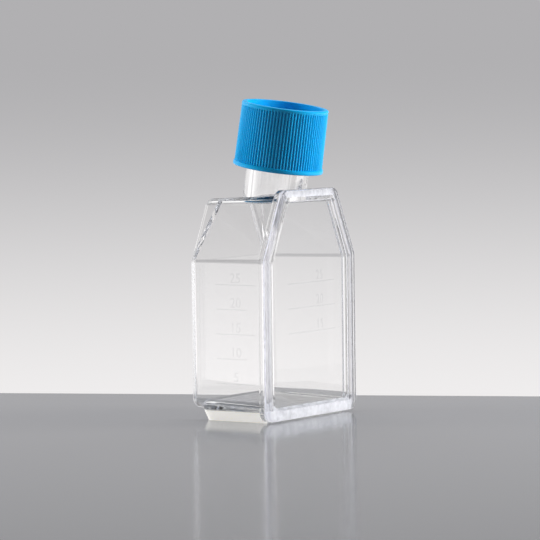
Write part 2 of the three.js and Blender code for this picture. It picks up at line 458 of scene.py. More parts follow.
@dataclass(frozen=True)
class ClearPolystyrene:
    """Crystal polystyrene, injection moulded in a polished tool: clear, glossy and faintly wavy."""

    name: str
    tint: str = "#fefefe"
    shadow_tint: str = "#eceef1"
    roughness: float = 0.012
    ior: float = 1.59
    wave_size: float = 14.0
    wave_depth: float = 0.012

    def material(self) -> Material:
        """Builds the material.

        Returns:
            The clear material.
        """
        surface = Surface(self.name)
        # Slow waves, as melt leaves them in a thin wall, one about every 14 mm.
        wave = surface.add("TexNoise", {
            "Scale": 1 / (self.wave_size * MM), "Detail": 1.0, "Roughness": 0.4},
            {"Vector": surface.place})
        bump = surface.add("Bump", {"Distance": self.wave_depth * MM}, {"Height": wave})
        plastic = surface.add("BsdfPrincipled", {
            "Base Color": linear(self.tint), "Roughness": self.roughness, "IOR": self.ior,
            "Transmission Weight": 1.0}, {"Normal": bump})
        # Lamps shine through the clear wall, so the flask casts only a faint shadow.
        lamp_ray = surface.add("LightPath").outputs["Is Shadow Ray"]
        let_through = surface.add("BsdfTransparent", {"Color": linear(self.shadow_tint)})
        return surface.show(surface.add("MixShader", None, {
            0: lamp_ray, 1: plastic, 2: let_through}))


@dataclass(frozen=True)
class WeldHaze:
    """The seam: polystyrene that melted and froze again, milky with fine streaks and bubbles."""

    name: str
    tint: str = "#fafafd"
    roughness: float = 0.5
    ior: float = 1.59
    clearness: float = 0.2
    streak_size: float = 2.2
    streak_depth: float = 0.03
    streak_strength: float = 0.3
    least_milk: float = 0.45
    most_milk: float = 0.95
    # The seam's painted glow: emission in place of the light that the clear walls pipe in.
    painted_glow: float = 0.05

    def material(self) -> Material:
        """Builds the material.

        Returns:
            The milky material.
        """
        surface = Surface(self.name)
        # The weld's swirls are about 2 mm.
        streak, milkiness = surface.patches(self.streak_size, self.least_milk, self.most_milk,
                                            spread=0.15, Distortion=0.2)
        bump = surface.add("Bump", {
            "Strength": self.streak_strength, "Distance": self.streak_depth * MM},
            {"Height": streak})
        # Painted glow: the seam gives off a little light of its own, which stands in for the light
        # that the clear walls pipe into it.
        milk = surface.add("BsdfPrincipled", {
            "Base Color": linear(self.tint), "Roughness": self.roughness, "IOR": self.ior,
            "Transmission Weight": self.clearness, "Emission Color": linear(self.tint),
            "Emission Strength": self.painted_glow}, {"Normal": bump})
        # Melted together, the two parts pass light on with no surface between them.
        joined = surface.add("BsdfTransparent", {"Color": linear(self.tint)})
        return surface.show(surface.add("MixShader", None, {0: milkiness, 1: joined, 2: milk}))


@dataclass(frozen=True)
class EtchedSkirt:
    """The skirt's sides: clear polystyrene with a creamy matt band etched along the foot."""

    name: str
    tint: str = "#fffcf6"
    # Grey tint of the clear strip above the band: painted shade under the overhang.
    painted_shade_tint: str = "#8f959d"
    roughness: float = 0.5
    ior: float = 1.59
    band_top: float = 2.4
    band_fade: float = 0.25
    grain_size: float = 0.5
    cover: float = 0.92
    worn_share: float = 0.85
    # The band's painted glow: emission in place of the light that the clear wall pipes in.
    painted_glow: float = 0.3

    def material(self) -> Material:
        """Builds the material.

        Returns:
            The material, matt along the foot and clear above.
        """
        surface = Surface(self.name)
        # The etching's grain is about 0.5 mm, and the band ends 2.4 mm above the foot.
        _, grain = surface.patches(self.grain_size, self.worn_share, 1.0)
        height = surface.add("SeparateXYZ", None, {0: surface.place}).outputs["Z"]
        band = surface.add("MapRange", {
            "From Min": (self.band_top + self.band_fade) * MM,
            "From Max": (self.band_top - self.band_fade) * MM, "To Max": self.cover},
            {"Value": height})
        cover = surface.add("Math", {"operation": "MULTIPLY"}, {0: band, 1: grain})
        # Painted shade: the narrow clear strip above the band is tinted grey to stand for the shade
        # under the overhang.
        clear = surface.add("BsdfPrincipled", {
            "Base Color": linear(self.painted_shade_tint), "Roughness": 0.0, "IOR": self.ior,
            "Transmission Weight": 1.0})
        # Painted glow: the etching gives off a little light of its own, which stands in for the
        # light that the clear wall pipes into it.
        matt = surface.add("BsdfPrincipled", {
            "Base Color": linear(self.tint), "Roughness": self.roughness, "IOR": self.ior,
            "Emission Color": linear(self.tint), "Emission Strength": self.painted_glow})
        return surface.show(surface.add("MixShader", None, {0: cover, 1: clear, 2: matt}))


@dataclass(frozen=True)
class SatinEdge:
    """The plate's edge: clear polystyrene left satin where the mould parts, faintly streaked."""

    name: str
    tint: str = "#f0f0f6"
    roughness: float = 0.16
    ior: float = 1.59
    streak_size: float = 3.0
    streak_slimness: float = 3.0
    streak_depth: float = 0.05
    streak_strength: float = 0.4
    unevenness: float = 0.5

    def material(self) -> Material:
        """Builds the material.

        Returns:
            The satin material.
        """
        surface = Surface(self.name)
        # The streaks of the parting line are about 3 mm long and a third as wide.
        along = surface.add("Mapping", {"Scale": (1.0, self.streak_slimness, 1.0)},
                            {"Vector": surface.place})
        streak, satin = surface.patches(
            self.streak_size, self.roughness * (1 - self.unevenness),
            self.roughness * (1 + self.unevenness), place_on=along)
        bump = surface.add("Bump", {
            "Strength": self.streak_strength, "Distance": self.streak_depth * MM},
            {"Height": streak})
        return surface.show(surface.add("BsdfPrincipled", {
            "Base Color": linear(self.tint), "IOR": self.ior, "Transmission Weight": 1.0},
            {"Roughness": satin, "Normal": bump}))


@dataclass(frozen=True)
class FrostedMark:
    """The raised fill marks: the same clear plastic, left matt by an etched mould, so that
    they show as faint grey lines."""

    name: str
    tint: str = "#9a9ea6"
    roughness: float = 0.5
    ior: float = 1.59
    cover: float = 0.04
    unevenness: float = 0.3
    grain_size: float = 0.15

    def material(self) -> Material:
        """Builds the material.

        Returns:
            The faintly matt material.
        """
        surface = Surface(self.name)
        # The etched grain is about 0.15 mm.
        _, cover = surface.patches(self.grain_size, self.cover * (1 - self.unevenness),
                                   self.cover * (1 + self.unevenness))
        matt = surface.add("BsdfPrincipled", {
            "Base Color": linear(self.tint), "Roughness": self.roughness, "IOR": self.ior})
        clear = surface.add("BsdfTransparent")
        return surface.show(surface.add("MixShader", None, {0: cover, 1: clear, 2: matt}))


@dataclass(frozen=True)
class BluePolyethylene:
    """Blue high-density polyethylene, moulded: saturated, semi-gloss and a little waxy."""

    name: str
    colour: str = "#00b6f3"
    deep_colour: str = "#00a6e8"
    roughness: float = 0.34
    ior: float = 1.54
    gloss: float = 0.36
    grain_size: float = 0.35
    grain_depth: float = 0.03
    grain_strength: float = 0.35
    smoother: float = 0.05
    rougher: float = 0.07
    cloud_size: float = 6.0

    def material(self) -> Material:
        """Builds the material.

        Returns:
            The blue material.
        """
        surface = Surface(self.name)
        # The pigment is a little uneven from one 6 mm patch to the next.
        cloud = surface.add("TexNoise", {"Scale": 1 / (self.cloud_size * MM), "Detail": 2.0},
                            {"Vector": surface.place})
        pigment = surface.add("Mix", {
            "data_type": "RGBA", 6: linear(self.colour), 7: linear(self.deep_colour)},
            {"Factor": cloud})
        # The spark-eroded mould leaves a grain of about 0.35 mm, drawn as coarse as it shows.
        grain, sheen = surface.patches(self.grain_size, self.roughness - self.smoother,
                                       self.roughness + self.rougher, spread=0.5, Detail=3.0)
        bump = surface.add("Bump", {
            "Strength": self.grain_strength, "Distance": self.grain_depth * MM},
            {"Height": grain})
        return surface.show(surface.add(
            "BsdfPrincipled", {"IOR": self.ior, "Specular IOR Level": self.gloss},
            {"Base Color": pigment.outputs[2], "Roughness": sheen, "Normal": bump}))


@dataclass(frozen=True)
class PaleAcrylic:
    """The table top: cast acrylic sheet, plain, smooth and softly glossy."""

    name: str
    colour: str = "#88898c"
    roughness: float = 0.12
    ior: float = 1.45

    def material(self) -> Material:
        """Builds the material."""
        surface = Surface(self.name)
        return surface.show(surface.add("BsdfPrincipled", {
            "Base Color": linear(self.colour), "Roughness": self.roughness, "IOR": self.ior}))


# ---- The flask ----


def enrol(made: Object, body: str, node: str | None = None) -> Object:
    """Gives a finished piece its place in the frame.

    Args:
        made: The piece.
        body: The body it moves with.
        node: The CAD node it stands for, if it does.

    Returns:
        The piece.
    """
    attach(made, body)
    if node is not None:
        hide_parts(node)
    faces = sum(len(face.vertices) - 2 for face in made.data.polygons)
    log.info("%s rides on %s, %d triangles", made.name, body, faces)
    return made


@dataclass
class Outline:
    """The welded outline that the flange and the top plate share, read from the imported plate."""

    top_width: float = 22.0
    shoulder_height: float = 38.0
    corner_radius: float = 2.2

    def __post_init__(self) -> None:
        """Reads the plate's box, which gives the depth, half of the width and the top edge."""
        self.low, self.high = (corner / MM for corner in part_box("top_plate"))
        self.half_width = self.high.x
        self.top = self.high.z

    def corners(self, inset: float, bottom: float, y: float = 0.0) -> list[Vector]:
        """The six corners, moved in by an inset.

        Args:
            inset: How far each edge moves in.
            bottom: The height of the bottom edge.
            y: The depth that the corners lie at.

        Returns:
            The corners in order.
        """
        rise = self.top - self.shoulder_height
        run = self.half_width - self.top_width / 2
        slant = math.hypot(rise, run)
        line = rise * self.half_width + run * self.shoulder_height - inset * slant
        side = self.half_width - inset
        top = self.top - inset
        shoulder = (line - rise * side) / run
        top_side = (line - run * top) / rise
        half = [(side, bottom), (side, shoulder), (top_side, top)]
        mirrored = [(-x, z) for x, z in reversed(half)]
        return [Vector((x, y, z)) for x, z in [*half, *mirrored]]


@dataclass
class FlaskBody:
    """The moulded body: tray, flange, ramp and fins, skirt, canted neck and thread."""

    outline: Outline
    finishes: Sequence[Material]
    weld_gap: float = 0.03
    weld_width: float = 1.7
    flange_thickness: float = 1.7
    flange_edge: float = 0.9
    seam_edge: float = 0.25
    tray_depth: float = 20.5
    flange_overhang: float = 1.3
    tray_draft: float = 2.6
    tray_corner: float = 2.4
    growth_edge: float = 1.6
    wall: float = 1.2
    end_wall: float = 1.4
    end_wall_height: float = 1.9
    ramp_fold_height: float = 37.2
    ramp_knee_height: float = 40.6
    ramp_knee_inset: float = 0.94
    ramp_top_inset: float = 4.6
    knee_radius: float = 2.0
    fin_thickness: float = 1.1
    skirt_side_inset: float = 1.1
    skirt_growth_inset: float = 1.9
    skirt_lean: float = 1.9
    skirt_wall: float = 1.2
    skirt_corner: float = 2.6
    skirt_draft: float = 1.4
    skirt_core_draft: float = 1.0
    neck_radius: float = 7.45
    neck_wall: float = 1.4
    bore_draft: float = 2.2
    neck_length: float = 16.0
    neck_setback: float = 10.55
    mouth_rounding: float = 0.5
    thread_height: float = 0.95
    thread_bead: float = 0.95
    thread_pitch: float = 3.2
    thread_turns: float = 2.0
    thread_start: float = 1.9
    thread_fade: float = 0.17
    corner_facets: int = 10
    edge_facets: int = 6
    seam_facets: int = 4
    flange_facets: int = 8
    ring_facets: int = 128
    bead_facets: int = 16
    thread_steps: int = 64
    # Short bands of the neck keep the thread's run-outs from bending the light lower down.
    neck_bands: tuple[float, ...] = (1.0, 2.5, 4.0, 5.5, 7.0)
    # How far a tool that cuts goes past what it cuts.
    through: float = 5.0
    sharp_from: float = 32.0

    def __post_init__(self) -> None:
        """Works out the planes that the pieces share."""
        self.weld_plane = self.outline.high.y
        self.flange_back = self.weld_plane + self.flange_thickness
        self.growth_plane = self.flange_back + self.tray_depth
        self.draft_inset = self.tray_depth * math.tan(math.radians(self.tray_draft))
        self.bore_radius = self.neck_radius - self.neck_wall
        axis = Vector(frame["joints"][0]["axis"])
        cant = math.atan2(-axis.y, axis.z)
        root = Vector((0, self.outline.low.y + self.neck_setback, self.outline.top))
        self.on_neck = Matrix.Translation(root) @ Matrix.Rotation(cant, 4, "X")

    def solid(self, name: str, bm: BMesh) -> Object:
        """Makes an object with the body's finishes, as every solid and tool of it has them."""
        return as_object(name, bm, self.finishes)

    def drafted(self, bm: BMesh) -> BMesh:
        """Narrows a slab evenly towards the growth plane, as it draws from its mould.

        Args:
            bm: The slab.

        Returns:
            The same slab, narrowed.
        """
        middle = (self.end_wall_height + self.outline.top - self.flange_overhang) / 2
        half_height = middle - self.end_wall_height
        half_width = self.outline.half_width - self.flange_overhang
        for point in bm.verts:
            share = max(0.0, (point.co.y - self.flange_back) / self.tray_depth)
            point.co.x *= 1 - share * self.draft_inset / half_width
            narrowed = 1 - share * self.draft_inset / half_height
            point.co.z = middle + (point.co.z - middle) * narrowed
        return bm

    def slab(self, inset: float, bottom: float, radius: float, near: float, far: float,
             edge: float = 0.0) -> BMesh:
        """A slab of the shared outline between two depths.

        Args:
            inset: How far the outline moves in.
            bottom: The height of its bottom edge.
            radius: The radius of its corners.
            near: The depth of its front.
            far: The depth of its back.
            edge: The radius that its back edge is rounded to.

        Returns:
            The closed slab.
        """
        bm = bmesh.new()
        face = rounded_face(bm, self.outline.corners(inset, bottom, near), radius,
                            self.corner_facets)
        end = extruded(bm, face, Vector((0, far - near, 0)))
        if edge > 0:
            soften(bm, rim_of(bm, end), edge, self.edge_facets)
        return bm

    def beyond_ramp(self, depth: float) -> BMesh:
        """The space on the growth side of the ramp, as a bar across the whole width.

        Args:
            depth: How deep its face lies below the ramp's own, and parallel to it.

        Returns:
            The closed bar.
        """
        fold = Vector((0, self.growth_plane, self.ramp_fold_height))
        knee = Vector((0, self.growth_plane - self.ramp_knee_inset, self.ramp_knee_height))
        top = Vector((0, self.growth_plane - self.ramp_top_inset, self.outline.top))
        low = (knee - fold).normalized()
        high = (top - knee).normalized()
        across = Vector((1, 0, 0))
        into_low, into_high = low.cross(across), high.cross(across)
        start = fold - into_low * depth - low * self.through
        turn = knee - (into_low + into_high) * depth / (1 + into_low.dot(into_high))
        end = top - into_high * depth + high * self.through
        far = self.growth_plane + self.through
        side = self.outline.half_width
        section = [Vector((-side, y, z)) for y, z in (
            (far, start.z), (start.y, start.z), (turn.y, turn.z), (end.y, end.z), (far, end.z))]
        bm = bmesh.new()
        face = rounded_face(bm, section, self.knee_radius, self.edge_facets)
        extruded(bm, face, Vector((2 * side, 0, 0)))
        return bm

    def tray(self) -> Object:
        """The tray's outside with the recess that leaves a fin along both shoulders and the top.

        Returns:
            The closed solid.
        """
        outside = self.solid("moulded_body", self.drafted(self.slab(
            self.flange_overhang, self.end_wall_height, self.tray_corner,
            self.weld_plane + self.flange_thickness / 2, self.growth_plane, self.growth_edge)))
        recess = self.solid("recess", self.drafted(self.slab(
            self.flange_overhang + self.fin_thickness, self.end_wall_height,
            self.tray_corner - self.fin_thickness, self.flange_back,
            self.growth_plane + self.through)))
        combine(recess, self.solid("ramp", self.beyond_ramp(0.0)), Join.COMMON)
        return combine(outside, recess, Join.CUT)

    def cavity(self) -> Object:
        """The room for the culture medium, open towards the top plate.

        Returns:
            The tool that cuts it.
        """
        room = self.solid("cavity", self.drafted(self.slab(
            self.flange_overhang + self.wall, self.end_wall_height + self.end_wall,
            self.tray_corner - self.wall, self.weld_plane - self.through,
            self.growth_plane - self.wall, self.growth_edge - self.wall)))
        return combine(room, self.solid("ramp", self.beyond_ramp(self.wall)), Join.CUT)

    def flange(self) -> Object:
        """The flange round the open side, with its edges eased.

        Returns:
            The closed solid, with the weld's haze on its ring.
        """
        bm = self.slab(0.0, self.outline.low.z, self.outline.corner_radius,
                       self.weld_plane + self.weld_gap, self.flange_back)
        seam = sharp_edges(bm, SQUARE_EDGE, lambda middle: middle.y < self.flange_back - CUT_WITHIN)
        soften(bm, seam, self.seam_edge, self.seam_facets)
        rear = sharp_edges(bm, SQUARE_EDGE, lambda middle: middle.y > self.flange_back - CUT_WITHIN)
        soften(bm, rear, self.flange_edge, self.flange_facets)
        foot = self.outline.low.z + self.flange_overhang + 2 * self.wall
        mark_weld(bm, -1.0, self.outline.corners(self.weld_width, foot))
        return self.solid("flange", bm)

    def skirt_block(self, inset: float, bottom: float) -> BMesh:
        """A block with two rounded corners on the growth side, narrower at its foot.

        Args:
            inset: How far its walls move in.
            bottom: The height of its foot.

        Returns:
            The closed block.
        """
        side = self.outline.half_width - self.flange_overhang - self.skirt_side_inset - inset
        far = self.growth_plane - self.skirt_growth_inset - inset
        near = self.weld_plane + self.flange_thickness / 2 + inset
        top = self.end_wall_height + self.draft_inset + self.end_wall / 2
        bm = bmesh.new()
        corners = [Vector(p) for p in ((-side, near, bottom), (-side, far, bottom),
                                       (side, far, bottom), (side, near, bottom))]
        face = rounded_face(bm, corners, self.skirt_corner - inset, self.corner_facets, (1, 2))
        extruded(bm, face, Vector((0, 0, top - bottom)))
        narrow = math.tan(math.radians(-self.skirt_core_draft if inset else self.skirt_draft))
        for point in bm.verts:
            drop = (top - point.co.z) / top
            across = (point.co.y - near) / (far - near)
            point.co.y -= self.skirt_lean * drop * across
            point.co.x *= 1 - (top - point.co.z) * narrow / side
            if inset:
                point.co.y += (top - point.co.z) * math.copysign(narrow, 0.5 - across)
        return bm

    def skirt(self) -> Object:
        """The thin wall under the end wall that the flask stands on.

        Returns:
            The closed solid, with the etching on its two sides.
        """
        block = self.skirt_block(0.0, 0.0)
        for face in block.faces:
            if abs(face.normal.x) > EDGE_FACING:
                face.material_index = 2
        ring = self.solid("skirt", block)
        pocket = self.solid("pocket", self.skirt_block(self.skirt_wall, -self.through))
        room = bmesh.new()
        bmesh.ops.create_cube(room, size=1.0)
        height = self.end_wall_height + self.through
        size = (2 * self.outline.half_width, 2 * (self.tray_depth + self.through), height)
        bmesh.ops.scale(room, vec=size, verts=room.verts)
        bmesh.ops.translate(room, vec=(0, 0, self.end_wall_height - height / 2), verts=room.verts)
        combine(pocket, self.solid("room", room), Join.COMMON)
        return combine(ring, pocket, Join.CUT)

    def neck(self) -> Object:
        """The neck's outside, from inside the body up to its rounded mouth.

        Returns:
            The closed solid.
        """
        side = self.neck_radius - self.mouth_rounding
        mouth = arc((side, self.neck_length - self.mouth_rounding), self.mouth_rounding, 0, 90, 6)
        root = -self.bore_radius / 2
        bands = [(self.neck_radius, height) for height in (root, *self.neck_bands)]
        profile = [(0, root), *bands, *mouth, (0, self.neck_length)]
        return self.solid("neck", place(turned(profile, self.ring_facets), self.on_neck))

    def thread(self) -> Object:
        """The thread's bead, which sinks into the neck at both of its ends.

        Returns:
            The closed solid.
        """
        steps = round(self.thread_turns * self.thread_steps)
        bm = bmesh.new()
        middle = self.neck_radius + self.thread_height - self.thread_bead
        start = self.neck_length - self.thread_start
        ring = bmesh.ops.create_circle(
            bm, cap_ends=True, radius=self.thread_bead, segments=self.bead_facets,
            matrix=Matrix.Translation((middle, 0, start)) @ Matrix.Rotation(math.pi / 2, 4, "X"))
        face = next(iter({f for v in ring["verts"] for f in v.link_faces}))
        drop = self.thread_pitch * self.thread_turns
        bmesh.ops.spin(bm, geom=[face], cent=(0, 0, 0), axis=(0, 0, -1), dvec=(0, 0, -drop / steps),
                       angle=FULL_TURN * self.thread_turns, steps=steps, use_merge=False,
                       use_duplicate=False)
        fade = self.thread_fade * self.thread_pitch
        for point in bm.verts:
            turn = math.atan2(point.co.y, point.co.x)
            radius = math.hypot(point.co.x, point.co.y)
            fallen = start - point.co.z
            # Near both of its ends the bead sinks into the neck.
            share = min(1.0, max(0.0, min(fallen, drop - fallen) / fade + 0.5))
            radius -= (1 - share) * self.thread_bead
            point.co.x = radius * math.cos(turn)
            point.co.y = radius * math.sin(turn)
        return self.solid("thread", place(bm, self.on_neck))

    def bore(self) -> Object:
        """The way through the neck into the body.

        Returns:
            The tool that cuts it.
        """
        bm = bmesh.new()
        narrow = math.tan(math.radians(self.bore_draft))
        bmesh.ops.create_cone(
            bm, cap_ends=True, segments=self.ring_facets,
            radius1=self.bore_radius - narrow * (self.neck_length + self.through),
            radius2=self.bore_radius + narrow * self.through,
            depth=self.neck_length + 2 * self.through,
            matrix=self.on_neck @ Matrix.Translation((0, 0, self.neck_length / 2)))
        return self.solid("bore", bm)

    def side_wall(self) -> Vector:
        """The foot of the side wall that is turned to the camera, below its middle."""
        inset = self.flange_overhang - self.flange_back * math.tan(math.radians(self.tray_draft))
        return Vector((inset - self.outline.half_width, 0, 0))

    def side_run(self) -> Vector:
        """The level direction along that wall, from the growth side to the plate."""
        return Vector((-math.tan(math.radians(self.tray_draft)), -1, 0))

    def build(self) -> Object:
        """Makes the whole body as one solid.

        Returns:
            The finished piece.
        """
        body = self.tray()
        for part in (self.flange, self.skirt, self.neck, self.thread):
            combine(body, part(), Join.UNION)
        for space in (self.cavity, self.bore):
            combine(body, space(), Join.CUT)
        return enrol(finished(body, self.sharp_from), "flask", "flask_body")


@dataclass
class TopPlate:
    """The plate welded to the flange: a flat panel inside a raised rim."""

    outline: Outline
    finishes: Sequence[Material]
    rim_width: float = 2.5
    weld_width: float = 1.7
    rim_rise: float = 0.7
    rim_slope: float = 0.35
    window_corner: float = 1.1
    front_edge: float = 0.8
    back_edge: float = 0.3
    window_foot: float = 0.2
    corner_facets: int = 10
    front_facets: int = 8
    back_facets: int = 4
    foot_facets: int = 3
    # The window's foot turns by more than this, and its rounded corners by less.
    foot_turn: float = 25.0
    sharp_from: float = 40.0

    def panel_middle(self) -> Vector:
        """The foot of the panel's front face, below its middle."""
        return Vector((0, self.outline.low.y + self.rim_rise, 0))

    def build(self) -> Object:
        """Makes the plate.

        Returns:
            The finished piece.
        """
        front, back = self.outline.low.y, self.outline.high.y
        bottom = self.outline.low.z
        bm = bmesh.new()
        face = rounded_face(bm, self.outline.corners(0.0, bottom, back),
                            self.outline.corner_radius, self.corner_facets)
        near = extruded(bm, face, Vector((0, front - back, 0)))
        soften(bm, rim_of(bm, near), self.front_edge, self.front_facets)
        rear = sharp_edges(bm, SQUARE_EDGE, lambda middle: middle.y > back - CUT_WITHIN)
        soften(bm, rear, self.back_edge, self.back_facets)
        mark_weld(bm, 1.0, self.outline.corners(self.weld_width, bottom + self.rim_width))
        for face in bm.faces:
            if abs(face.normal.y) < EDGE_FACING:
                face.material_index = 2
        plate = as_object("welded_plate", bm, self.finishes)

        window = bmesh.new()
        inset = self.rim_width + self.rim_slope
        corners = self.outline.corners(inset, bottom + inset, front + self.rim_rise)
        floor = rounded_face(window, corners, self.window_corner, self.corner_facets)
        wide = extruded(window, floor, Vector((0, -2 * self.rim_rise, 0)))
        # The rim's inner side slopes, so the window widens towards its open front.
        flare = 2 * self.rim_slope
        across = 1 + flare / (self.outline.half_width - inset)
        upwards = 1 + flare / ((self.outline.top - bottom) / 2 - inset)
        middle = (self.outline.top + bottom) / 2
        bmesh.ops.scale(window, vec=(across, 1, upwards), verts=wide,
                        space=Matrix.Translation((0, 0, -middle)))
        foot = sharp_edges(window, self.foot_turn,
                           lambda middle: middle.y > front + self.rim_rise - CUT_WITHIN)
        soften(window, foot, self.window_foot, self.foot_facets)
        combine(plate, as_object("window", window, self.finishes), Join.CUT)
        return enrol(finished(plate, self.sharp_from), "flask", "top_plate")


@dataclass(frozen=True)
class FillMark:
    """One raised line of a volume scale, with its number."""

    height: float
    length: float
    number: str
    number_at: float = 0.0
    shift: float = 0.0


@dataclass
class FillMarks:
    """A volume scale moulded on one flat wall: short raised lines with plain numbers."""

    name: str
    foot: Vector
    along: Vector
    marks: Sequence[FillMark]
    finish: Material
    line_width: float = 0.28
    rise: float = 0.08
    clear_of_wall: float = 0.01
    digit_height: float = 2.3
    digit_gap: float = 0.5
    digit_facets: int = 3
    sharp_from: float = 30.0

    def number(self, mark: FillMark) -> Mesh:
        """Cuts a number as a thin closed solid.

        Args:
            mark: The mark that it belongs to.

        Returns:
            Its mesh, in millimetres, flat on the wall's own plane.
        """
        text = bpy.data.curves.new(f"{self.name}_{mark.number}", "FONT")
        text.body = mark.number
        text.align_x = "CENTER"
        text.size = self.digit_height / DIGIT_SHARE
        text.extrude = self.rise / 2
        text.resolution_u = self.digit_facets
        holder = linked(text.name, text)
        mesh = baked(holder)
        bpy.data.objects.remove(holder)
        mesh.transform(Matrix.Translation((mark.number_at, mark.height + self.digit_gap, 0)))
        return mesh

    def build(self) -> Object:
        """Makes the scale and sets it on its wall.

        Returns:
            The finished piece.
        """
        bm = bmesh.new()
        for mark in self.marks:
            line = bmesh.ops.create_cube(bm, size=1.0)["verts"]
            bmesh.ops.scale(bm, vec=(mark.length, self.line_width, self.rise), verts=line)
            bmesh.ops.translate(bm, vec=(mark.shift, mark.height, 0), verts=line)
            bm.from_mesh(self.number(mark))
        up = Vector((0, 0, 1))
        out = self.along.cross(up).normalized()
        stand = self.foot + out * (self.rise / 2 + self.clear_of_wall)
        turned_to = Matrix((self.along.normalized(), up, out)).transposed().to_4x4()
        place(bm, Matrix.Translation(stand) @ turned_to)
        made = as_object(self.name, bm, [self.finish])
        return enrol(finished(made, self.sharp_from), "flask")


@dataclass
class ScrewCap:
    """The blue cap: a ribbed wall, a recessed top, a flared lip and a plug seal."""

    neck: FlaskBody
    finish: Material
    height: float = 15.2
    wall: float = 1.2
    taper: float = 0.2
    recess: float = 2.5
    disc: float = 1.2
    rim_width: float = 1.2
    edge_radius: float = 0.4
    top_band: float = 0.9
    lip_height: float = 1.1
    lip_flare: float = 0.2
    lip_edge: float = 0.35
    rib_count: int = 90
    rib_depth: float = 0.35
    rib_crest_share: float = 0.5
    rib_foot_share: float = 0.94
    rib_setback: float = 0.05
    rib_seat: float = 0.4
    rib_rounding: float = 0.35
    rib_top_share: float = 0.7
    band_overlap: float = 0.1
    plug_wall: float = 1.0
    plug_depth: float = 4.5
    plug_lead_in: float = 0.5
    thread_clearance: float = 0.35
    plug_clearance: float = 0.3
    mouth_clearance: float = 0.3
    ring_facets: int = 180
    sharp_from: float = 38.0

    def __post_init__(self) -> None:
        """Works out the radii from the neck."""
        self.inner_radius = self.neck.neck_radius + self.neck.thread_height + self.thread_clearance
        self.rib_root = self.inner_radius + self.wall
        self.radius = self.rib_root + self.rib_depth
        above = self.mouth_clearance + self.disc + self.recess
        self.open_end = self.neck.neck_length + above - self.height
        self.plug_radius = self.neck.bore_radius - self.plug_clearance

    def shell(self) -> Object:
        """The smooth shell inside the ribs.

        Returns:
            The closed solid, which stands on its open end.
        """
        core = self.rib_root - self.rib_seat
        lip = self.radius + self.taper + self.lip_flare
        bore = self.radius - self.rim_width
        band = self.height - self.top_band
        floor = self.height - self.recess
        disc = floor - self.disc
        plug_end = disc - self.plug_depth
        edge, half = self.edge_radius, self.edge_radius / 2
        profile = [
            (0, floor), (0, disc),
            (self.plug_radius - self.plug_wall, disc),
            (self.plug_radius - self.plug_wall, plug_end),
            (self.plug_radius - self.plug_lead_in, plug_end),
            (self.plug_radius, plug_end + self.plug_lead_in),
            (self.plug_radius, disc), (self.inner_radius, disc), (self.inner_radius, 0),
            *arc((lip - self.lip_edge, self.lip_edge), self.lip_edge, -90, 0),
            *arc((lip - self.lip_edge, self.lip_height - self.lip_edge), self.lip_edge, 0, 90),
            (core, self.lip_height), (core, band), (self.radius - self.band_overlap, band),
            *arc((self.radius - edge, self.height - edge), edge, 0, 90),
            *arc((bore + half, self.height - half), half, 90, 180),
            *arc((bore - edge, floor + edge), edge, 0, -90),
            (0, floor),
        ]
        return as_object("screw_cap_moulding", turned(profile, self.ring_facets), [self.finish])

    def ribs(self) -> Object:
        """The grip: a ring of fine round-topped ribs between the lip and the top band.

        Returns:
            The closed ribs, which reach into the shell.
        """
        pitch = FULL_TURN / self.rib_count
        crest = pitch * self.rib_crest_share / 2
        foot = pitch * self.rib_foot_share / 2
        top_radius = self.radius - self.rib_setback
        shoulder = top_radius - self.rib_depth * self.rib_rounding
        half = [(self.rib_root - 2 * self.rib_seat, foot), (self.rib_root, foot),
                (shoulder, (crest + foot) / 2),
                (top_radius - self.rib_setback, crest * self.rib_top_share)]
        section = [*half, (top_radius, 0.0), *[(r, -turn) for r, turn in reversed(half)]]
        bm = bmesh.new()
        low = self.lip_height / 2
        high = self.height - self.top_band / 2
        face = bm.faces.new([bm.verts.new((r * math.cos(turn), r * math.sin(turn), low))
                             for r, turn in section])
        extruded(bm, face, Vector((0, 0, high - low)))
        for point in bm.verts:
            widen = 1 + self.taper * (1 - point.co.z / self.height) / self.radius
            point.co.x *= widen
            point.co.y *= widen
        bmesh.ops.spin(bm, geom=[*bm.verts, *bm.edges, *bm.faces], cent=(0, 0, 0), axis=(0, 0, 1),
                       dvec=(0, 0, 0), angle=FULL_TURN - pitch, steps=self.rib_count - 1,
                       use_merge=False, use_duplicate=True)
        return as_object("ribs", bm, [self.finish])

    def build(self) -> Object:
        """Makes the cap and screws it onto the neck.

        Returns:
            The finished piece.
        """
        cap = combine(self.shell(), self.ribs(), Join.UNION)
        cap.data.transform(self.neck.on_neck @ Matrix.Translation((0, 0, self.open_end)))
        return enrol(finished(cap, self.sharp_from), "cap", "screw_cap")


# ---- The studio ----


@dataclass(frozen=True)
class Glow:
    """The soft glow of a lamp's screen, or with a level below zero a dim side of the room.

    Its azimuth counts from the camera's side, in degrees to the right. It is full within its
    inner angle and gone beyond its outer one.
    """

    azimuth: float
    elevation: float
    inner: float
    outer: float
    level: float


@dataclass(frozen=True)
class Softbox:
    """A soft lamp that faces the flask. At level 1 it lights a face turned to it fully."""

    name: str
    azimuth: float
    elevation: float
    distance: float
    size: tuple[float, float]
    level: float


